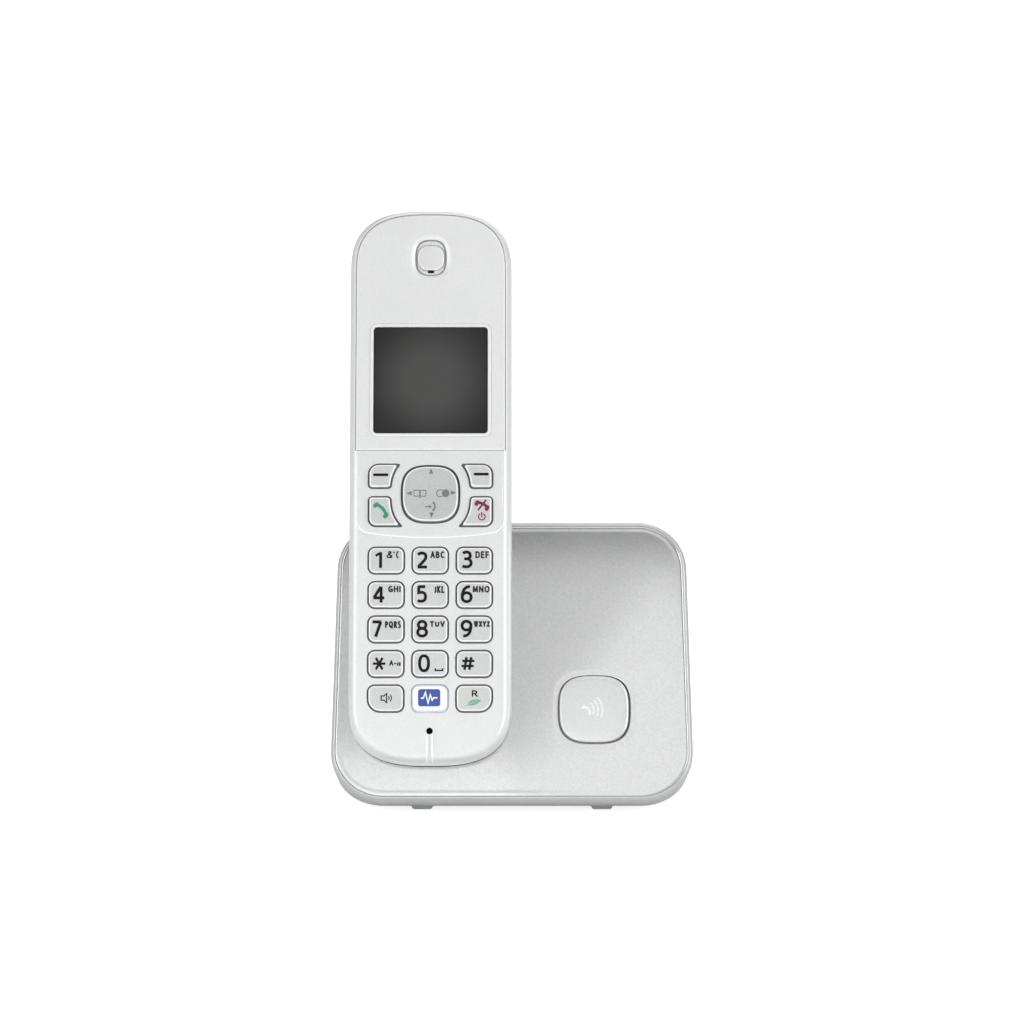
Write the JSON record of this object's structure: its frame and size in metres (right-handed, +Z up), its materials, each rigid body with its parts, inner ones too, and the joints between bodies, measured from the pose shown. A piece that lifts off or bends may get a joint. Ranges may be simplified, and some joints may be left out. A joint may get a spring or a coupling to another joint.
{
  "type": "cordless telephone with charging base",
  "caption": "Cordless telephone: a slim keypad handset with a square display stands in the left side of a wedge-shaped charging base with a locator button.",
  "frame": {"origin": "on the table, under the middle of the whole object's bounding box", "axes": "+Z up, +X to the right of somebody facing the keypad, -Y towards them; the front plate leans back 27 degrees from upright"},
  "size_m": [0.1036, 0.0916, 0.1625],
  "materials": {
    "pearl_white": "pearl white paint, fine flake",
    "fascia_white": "slightly greyer pearl, satin",
    "silver_paint": "silver metallic paint on plastic, satin",
    "grey_housing": "light grey satin plastic",
    "key_grey": "light grey painted keys, satin",
    "key_clear": "pale translucent",
    "display_pane": "dark glossy window",
    "trim_chrome": "bright satin",
    "foot_rubber": "matte grey rubber",
    "mat_silicone": "dark silicone",
    "board": "green solder mask",
    "contact_metal": "nickel plated",
    "screw_steel": "zinc plated",
    "cell_can": "printed sleeve over a metal can",
    "black_plastic": "black moulded plastic",
    "lcd": "glass display in a frame"
  },
  "bodies": {
    "base": {"base_front_cover": "silver_paint", "base_rear_housing": "grey_housing", "locator_switch_board": "board", "base_screw_1": "screw_steel", "base_screw_2": "screw_steel", "base_foot_front_left": "foot_rubber", "base_foot_front_right": "foot_rubber", "base_foot_rear_left": "foot_rubber", "base_foot_rear_right": "foot_rubber", "base_main_board": "board", "line_socket": "black_plastic", "power_socket": "black_plastic", "radio_shield": "contact_metal", "capacitor": "black_plastic", "antenna_plate": "contact_metal"},
    "handset": {"handset_front_cover": "pearl_white", "display_fascia": "fascia_white", "display_window": "display_pane", "lcd_module": "lcd", "earpiece_trim": "trim_chrome", "earpiece_speaker": "black_plastic", "keypad_mat": "mat_silicone", "handset_board": "board", "microphone": "black_plastic", "handset_rear_cover": "pearl_white", "handset_contact_left": "contact_metal", "handset_contact_right": "contact_metal", "handset_screw_left": "screw_steel", "handset_screw_right": "screw_steel", "battery_cell_left": "cell_can", "battery_cell_right": "cell_can", "battery_link_plate": "contact_metal", "battery_terminal_left": "contact_metal", "battery_terminal_right": "contact_metal", "loudspeaker": "black_plastic"},
    "battery_cover": {"battery_cover": "pearl_white"},
    "navigator_carrier": {"navigator_carrier": "black_plastic"},
    "navigator_key": {"navigator_key": "key_grey"},
    "locator_button": {"locator_button": "silver_paint"},
    "charge_contact_left": {"charge_contact_left": "contact_metal"},
    "charge_contact_right": {"charge_contact_right": "contact_metal"},
    "key_1": {"key_1": "key_grey"},
    "key_2": {"key_2": "key_grey"},
    "key_3": {"key_3": "key_grey"},
    "key_4": {"key_4": "key_grey"},
    "key_5": {"key_5": "key_grey"},
    "key_6": {"key_6": "key_grey"},
    "key_7": {"key_7": "key_grey"},
    "key_8": {"key_8": "key_grey"},
    "key_9": {"key_9": "key_grey"},
    "key_star": {"key_star": "key_grey"},
    "key_0": {"key_0": "key_grey"},
    "key_hash": {"key_hash": "key_grey"},
    "key_speaker": {"key_speaker": "key_grey"},
    "key_noise": {"key_noise": "key_clear"},
    "key_recall": {"key_recall": "key_grey"},
    "key_soft_left": {"key_soft_left": "key_grey"},
    "key_soft_right": {"key_soft_right": "key_grey"},
    "key_talk": {"key_talk": "key_grey"},
    "key_off": {"key_off": "key_grey"}
  },
  "joints": [
    {"name": "handset_lift", "type": "slide", "parent": "base", "child": "handset", "axis": [0, 0.454, 0.891], "range_m": [0, 0.09]},
    {"name": "battery_cover_slide", "type": "slide", "parent": "handset", "child": "battery_cover", "axis": [0, -0.454, -0.891], "range_m": [0, 0.005]},
    {"name": "navigator_tilt_up_down", "type": "hinge", "parent": "handset", "child": "navigator_carrier", "pos_m": [-0.0232, -0.00936, 0.08806], "axis": [1, 0, 0], "range_deg": [-3, 3], "stiffness_Nm_per_rad": 0.12},
    {"name": "navigator_tilt_left_right", "type": "hinge", "parent": "navigator_carrier", "child": "navigator_key", "pos_m": [-0.0232, -0.00936, 0.08806], "axis": [0, 0.454, 0.891], "range_deg": [-3, 3], "stiffness_Nm_per_rad": 0.12},
    {"name": "locator_button_press", "type": "slide", "parent": "base", "child": "locator_button", "axis": [0, 0.891, -0.454], "range_m": [0, 0.0008], "stiffness_N_per_m": 900},
    {"name": "charge_contact_left_press", "type": "slide", "parent": "base", "child": "charge_contact_left", "axis": [0, -0.454, -0.891], "range_m": [0, 0.0012], "stiffness_N_per_m": 300},
    {"name": "charge_contact_right_press", "type": "slide", "parent": "base", "child": "charge_contact_right", "axis": [0, -0.454, -0.891], "range_m": [0, 0.0012], "stiffness_N_per_m": 300},
    {"name": "key_1_press", "type": "slide", "parent": "handset", "child": "key_1", "axis": [0, 0.891, -0.454], "range_m": [0, 0.0006], "stiffness_N_per_m": 900},
    {"name": "key_2_press", "type": "slide", "parent": "handset", "child": "key_2", "axis": [0, 0.891, -0.454], "range_m": [0, 0.0006], "stiffness_N_per_m": 900},
    {"name": "key_3_press", "type": "slide", "parent": "handset", "child": "key_3", "axis": [0, 0.891, -0.454], "range_m": [0, 0.0006], "stiffness_N_per_m": 900},
    {"name": "key_4_press", "type": "slide", "parent": "handset", "child": "key_4", "axis": [0, 0.891, -0.454], "range_m": [0, 0.0006], "stiffness_N_per_m": 900},
    {"name": "key_5_press", "type": "slide", "parent": "handset", "child": "key_5", "axis": [0, 0.891, -0.454], "range_m": [0, 0.0006], "stiffness_N_per_m": 900},
    {"name": "key_6_press", "type": "slide", "parent": "handset", "child": "key_6", "axis": [0, 0.891, -0.454], "range_m": [0, 0.0006], "stiffness_N_per_m": 900},
    {"name": "key_7_press", "type": "slide", "parent": "handset", "child": "key_7", "axis": [0, 0.891, -0.454], "range_m": [0, 0.0006], "stiffness_N_per_m": 900},
    {"name": "key_8_press", "type": "slide", "parent": "handset", "child": "key_8", "axis": [0, 0.891, -0.454], "range_m": [0, 0.0006], "stiffness_N_per_m": 900},
    {"name": "key_9_press", "type": "slide", "parent": "handset", "child": "key_9", "axis": [0, 0.891, -0.454], "range_m": [0, 0.0006], "stiffness_N_per_m": 900},
    {"name": "key_star_press", "type": "slide", "parent": "handset", "child": "key_star", "axis": [0, 0.891, -0.454], "range_m": [0, 0.0006], "stiffness_N_per_m": 900},
    {"name": "key_0_press", "type": "slide", "parent": "handset", "child": "key_0", "axis": [0, 0.891, -0.454], "range_m": [0, 0.0006], "stiffness_N_per_m": 900},
    {"name": "key_hash_press", "type": "slide", "parent": "handset", "child": "key_hash", "axis": [0, 0.891, -0.454], "range_m": [0, 0.0006], "stiffness_N_per_m": 900},
    {"name": "key_speaker_press", "type": "slide", "parent": "handset", "child": "key_speaker", "axis": [0, 0.891, -0.454], "range_m": [0, 0.0006], "stiffness_N_per_m": 900},
    {"name": "key_noise_press", "type": "slide", "parent": "handset", "child": "key_noise", "axis": [0, 0.891, -0.454], "range_m": [0, 0.0006], "stiffness_N_per_m": 900},
    {"name": "key_recall_press", "type": "slide", "parent": "handset", "child": "key_recall", "axis": [0, 0.891, -0.454], "range_m": [0, 0.0006], "stiffness_N_per_m": 900},
    {"name": "key_soft_left_press", "type": "slide", "parent": "handset", "child": "key_soft_left", "axis": [0, 0.891, -0.454], "range_m": [0, 0.0006], "stiffness_N_per_m": 900},
    {"name": "key_soft_right_press", "type": "slide", "parent": "handset", "child": "key_soft_right", "axis": [0, 0.891, -0.454], "range_m": [0, 0.0006], "stiffness_N_per_m": 900},
    {"name": "key_talk_press", "type": "slide", "parent": "handset", "child": "key_talk", "axis": [0, 0.891, -0.454], "range_m": [0, 0.0006], "stiffness_N_per_m": 900},
    {"name": "key_off_press", "type": "slide", "parent": "handset", "child": "key_off", "axis": [0, 0.891, -0.454], "range_m": [0, 0.0006], "stiffness_N_per_m": 900}
  ]
}
